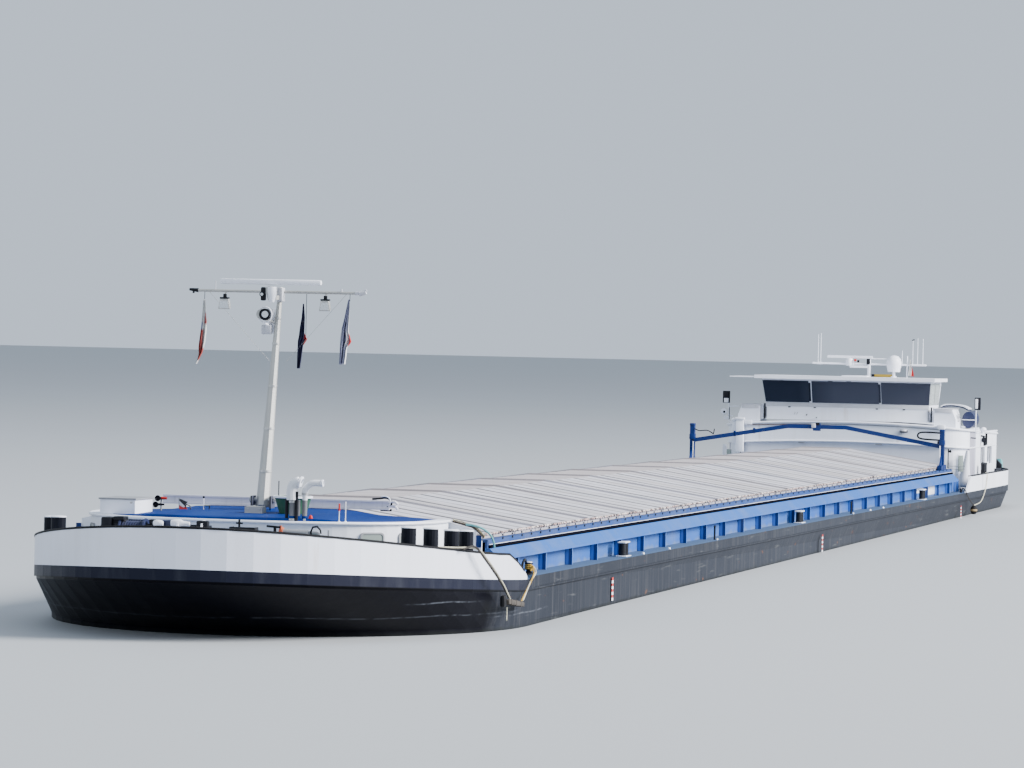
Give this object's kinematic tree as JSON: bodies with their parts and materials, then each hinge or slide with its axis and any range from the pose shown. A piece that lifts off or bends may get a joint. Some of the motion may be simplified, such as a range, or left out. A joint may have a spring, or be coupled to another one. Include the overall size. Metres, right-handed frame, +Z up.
{
  "type": "river barge, 1:10 scale model",
  "caption": "Inland motor cargo barge with a flared bow, hatch-covered hold, hatch crane, folding bow mast and a lifting wheelhouse aft, at one tenth of real size.",
  "frame": {"origin": "under the middle of the flat bottom, at the centre of the bounding box's base", "axes": "+X towards the bow, +Y to port, +Z up"},
  "size_m": [11, 1.145, 1.052],
  "materials": {
    "hull_paint": "weathered, streaked",
    "white_paint": "semi-gloss",
    "blue_paint": "semi-gloss, weathered",
    "crane_paint": "semi-gloss",
    "roof_paint": "matt",
    "cover_metal": "weathered, corrugated",
    "mast_alloy": "satin",
    "scanner_plastic": "gloss",
    "green_plastic": "satin",
    "black_paint": "semi-gloss",
    "drum_paint": "worn",
    "door_paint": "semi-gloss",
    "lift_steel": "bright",
    "dark_glass": "tinted",
    "bronze": "dull",
    "rope_fibre": "laid fibre",
    "flag_cloth": "woven",
    "red_paint": "semi-gloss",
    "yellow_paint": "semi-gloss",
    "lamp_lens": "clear",
    "rubber": "matt",
    "timber": "weathered"
  },
  "bodies": {
    "hull": {"hull_bow": "hull_paint", "hull_hold": "hull_paint", "hull_stern": "hull_paint", "gangplank": "mast_alloy", "refuse_bin": "green_plastic", "bow_bulwark": "white_paint", "stern_bulwark": "white_paint", "coaming_port": "blue_paint", "coaming_starboard": "blue_paint", "coaming_fore": "white_paint", "coaming_aft": "blue_paint", "fore_cabin": "white_paint", "fore_cabin_roof": "roof_paint", "deck_locker": "white_paint", "anchor_winch_starboard": "black_paint", "anchor_winch_port": "black_paint", "deckhouse": "white_paint", "deckhouse_roof": "white_paint", "lift_column": "lift_steel"},
    "hatch_crane": {"hatch_crane": "crane_paint"},
    "deck_locker_lid": {"deck_locker_lid": "white_paint"},
    "bow_mast": {"bow_mast": "mast_alloy"},
    "bow_scanner": {"bow_scanner": "scanner_plastic"},
    "winch_drum_starboard": {"winch_drum_starboard": "drum_paint"},
    "winch_drum_port": {"winch_drum_port": "drum_paint"},
    "deckhouse_door": {"deckhouse_door": "door_paint"},
    "wheelhouse": {"wheelhouse": "white_paint", "wheelhouse_glass": "dark_glass", "wheelhouse_roof": "white_paint", "lift_ram": "lift_steel"},
    "wheelhouse_door": {"wheelhouse_door": "door_paint"},
    "roof_scanner": {"roof_scanner": "scanner_plastic"},
    "screw": {"screw": "bronze"},
    "rudder_port": {"rudder_port": "black_paint"},
    "rudder_starboard": {"rudder_starboard": "black_paint"},
    "hatch_cover_01": {"hatch_cover_01": "cover_metal"},
    "hatch_cover_02": {"hatch_cover_02": "cover_metal"},
    "hatch_cover_03": {"hatch_cover_03": "cover_metal"},
    "hatch_cover_04": {"hatch_cover_04": "cover_metal"},
    "hatch_cover_05": {"hatch_cover_05": "cover_metal"},
    "hatch_cover_06": {"hatch_cover_06": "cover_metal"},
    "hatch_cover_07": {"hatch_cover_07": "cover_metal"},
    "hatch_cover_08": {"hatch_cover_08": "cover_metal"},
    "hatch_cover_09": {"hatch_cover_09": "cover_metal"},
    "hatch_cover_10": {"hatch_cover_10": "cover_metal"},
    "hatch_cover_11": {"hatch_cover_11": "cover_metal"},
    "hatch_cover_12": {"hatch_cover_12": "cover_metal"},
    "hatch_cover_13": {"hatch_cover_13": "cover_metal"}
  },
  "joints": [
    {"name": "crane_travel", "type": "slide", "parent": "hull", "child": "hatch_crane", "axis": [1, 0, 0], "range_m": [-0.13, 7.7]},
    {"name": "locker_lid_hinge", "type": "hinge", "parent": "hull", "child": "deck_locker_lid", "pos_m": [4.852, -0.2985, 0.5323], "axis": [0, -1, 0], "range_deg": [0, 100]},
    {"name": "mast_fold", "type": "hinge", "parent": "hull", "child": "bow_mast", "pos_m": [4.81, 0, 0.536], "axis": [0, 1, 0], "range_deg": [0, 80]},
    {"name": "bow_scanner_turn", "type": "hinge", "parent": "bow_mast", "child": "bow_scanner", "pos_m": [4.745, -0.01, 1.046], "axis": [0, 0, 1], "continuous": true},
    {"name": "winch_starboard_turn", "type": "hinge", "parent": "hull", "child": "winch_drum_starboard", "pos_m": [5.34, -0.148, 0.479], "axis": [0, 1, 0], "continuous": true},
    {"name": "winch_port_turn", "type": "hinge", "parent": "hull", "child": "winch_drum_port", "pos_m": [5.345, -0.01, 0.479], "axis": [0, 1, 0], "continuous": true},
    {"name": "deckhouse_door_hinge", "type": "hinge", "parent": "hull", "child": "deckhouse_door", "pos_m": [-4.793, 0.1203, 0.451], "axis": [0, 0, 1], "range_deg": [0, 110]},
    {"name": "wheelhouse_lift", "type": "slide", "parent": "hull", "child": "wheelhouse", "axis": [0, 0, 1], "range_m": [0, 0.2]},
    {"name": "wheelhouse_door_hinge", "type": "hinge", "parent": "wheelhouse", "child": "wheelhouse_door", "pos_m": [-4.181, -0.0597, 0.707], "axis": [0, 0, 1], "range_deg": [0, 110]},
    {"name": "roof_scanner_turn", "type": "hinge", "parent": "wheelhouse", "child": "roof_scanner", "pos_m": [-4.13, -0.029, 0.887], "axis": [0, 0, 1], "continuous": true},
    {"name": "screw_turn", "type": "hinge", "parent": "hull", "child": "screw", "pos_m": [-4.935, 0, 0.1], "axis": [1, 0, 0], "continuous": true},
    {"name": "rudder_port_turn", "type": "hinge", "parent": "hull", "child": "rudder_port", "pos_m": [-5.09, 0.045, 0.1], "axis": [0, 0, 1], "range_deg": [-70, 70]},
    {"name": "rudder_starboard_turn", "type": "hinge", "parent": "hull", "child": "rudder_starboard", "pos_m": [-5.09, -0.045, 0.1], "axis": [0, 0, 1], "range_deg": [-70, 70]},
    {"name": "cover_01_lift", "type": "slide", "parent": "hull", "child": "hatch_cover_01", "axis": [0, 0, 1], "range_m": [0, 0.02]},
    {"name": "cover_02_lift", "type": "slide", "parent": "hull", "child": "hatch_cover_02", "axis": [0, 0, 1], "range_m": [0, 0.02]},
    {"name": "cover_03_lift", "type": "slide", "parent": "hull", "child": "hatch_cover_03", "axis": [0, 0, 1], "range_m": [0, 0.02]},
    {"name": "cover_04_lift", "type": "slide", "parent": "hull", "child": "hatch_cover_04", "axis": [0, 0, 1], "range_m": [0, 0.02]},
    {"name": "cover_05_lift", "type": "slide", "parent": "hull", "child": "hatch_cover_05", "axis": [0, 0, 1], "range_m": [0, 0.02]},
    {"name": "cover_06_lift", "type": "slide", "parent": "hull", "child": "hatch_cover_06", "axis": [0, 0, 1], "range_m": [0, 0.02]},
    {"name": "cover_07_lift", "type": "slide", "parent": "hull", "child": "hatch_cover_07", "axis": [0, 0, 1], "range_m": [0, 0.02]},
    {"name": "cover_08_lift", "type": "slide", "parent": "hull", "child": "hatch_cover_08", "axis": [0, 0, 1], "range_m": [0, 0.02]},
    {"name": "cover_09_lift", "type": "slide", "parent": "hull", "child": "hatch_cover_09", "axis": [0, 0, 1], "range_m": [0, 0.02]},
    {"name": "cover_10_lift", "type": "slide", "parent": "hull", "child": "hatch_cover_10", "axis": [0, 0, 1], "range_m": [0, 0.02]},
    {"name": "cover_11_lift", "type": "slide", "parent": "hull", "child": "hatch_cover_11", "axis": [0, 0, 1], "range_m": [0, 0.02]},
    {"name": "cover_12_lift", "type": "slide", "parent": "hull", "child": "hatch_cover_12", "axis": [0, 0, 1], "range_m": [0, 0.02]},
    {"name": "cover_13_lift", "type": "slide", "parent": "hull", "child": "hatch_cover_13", "axis": [0, 0, 1], "range_m": [0, 0.02]}
  ],
  "couplings": [
    {"joint": "rudder_starboard_turn", "follows": "rudder_port_turn", "ratio": 1}
  ]
}
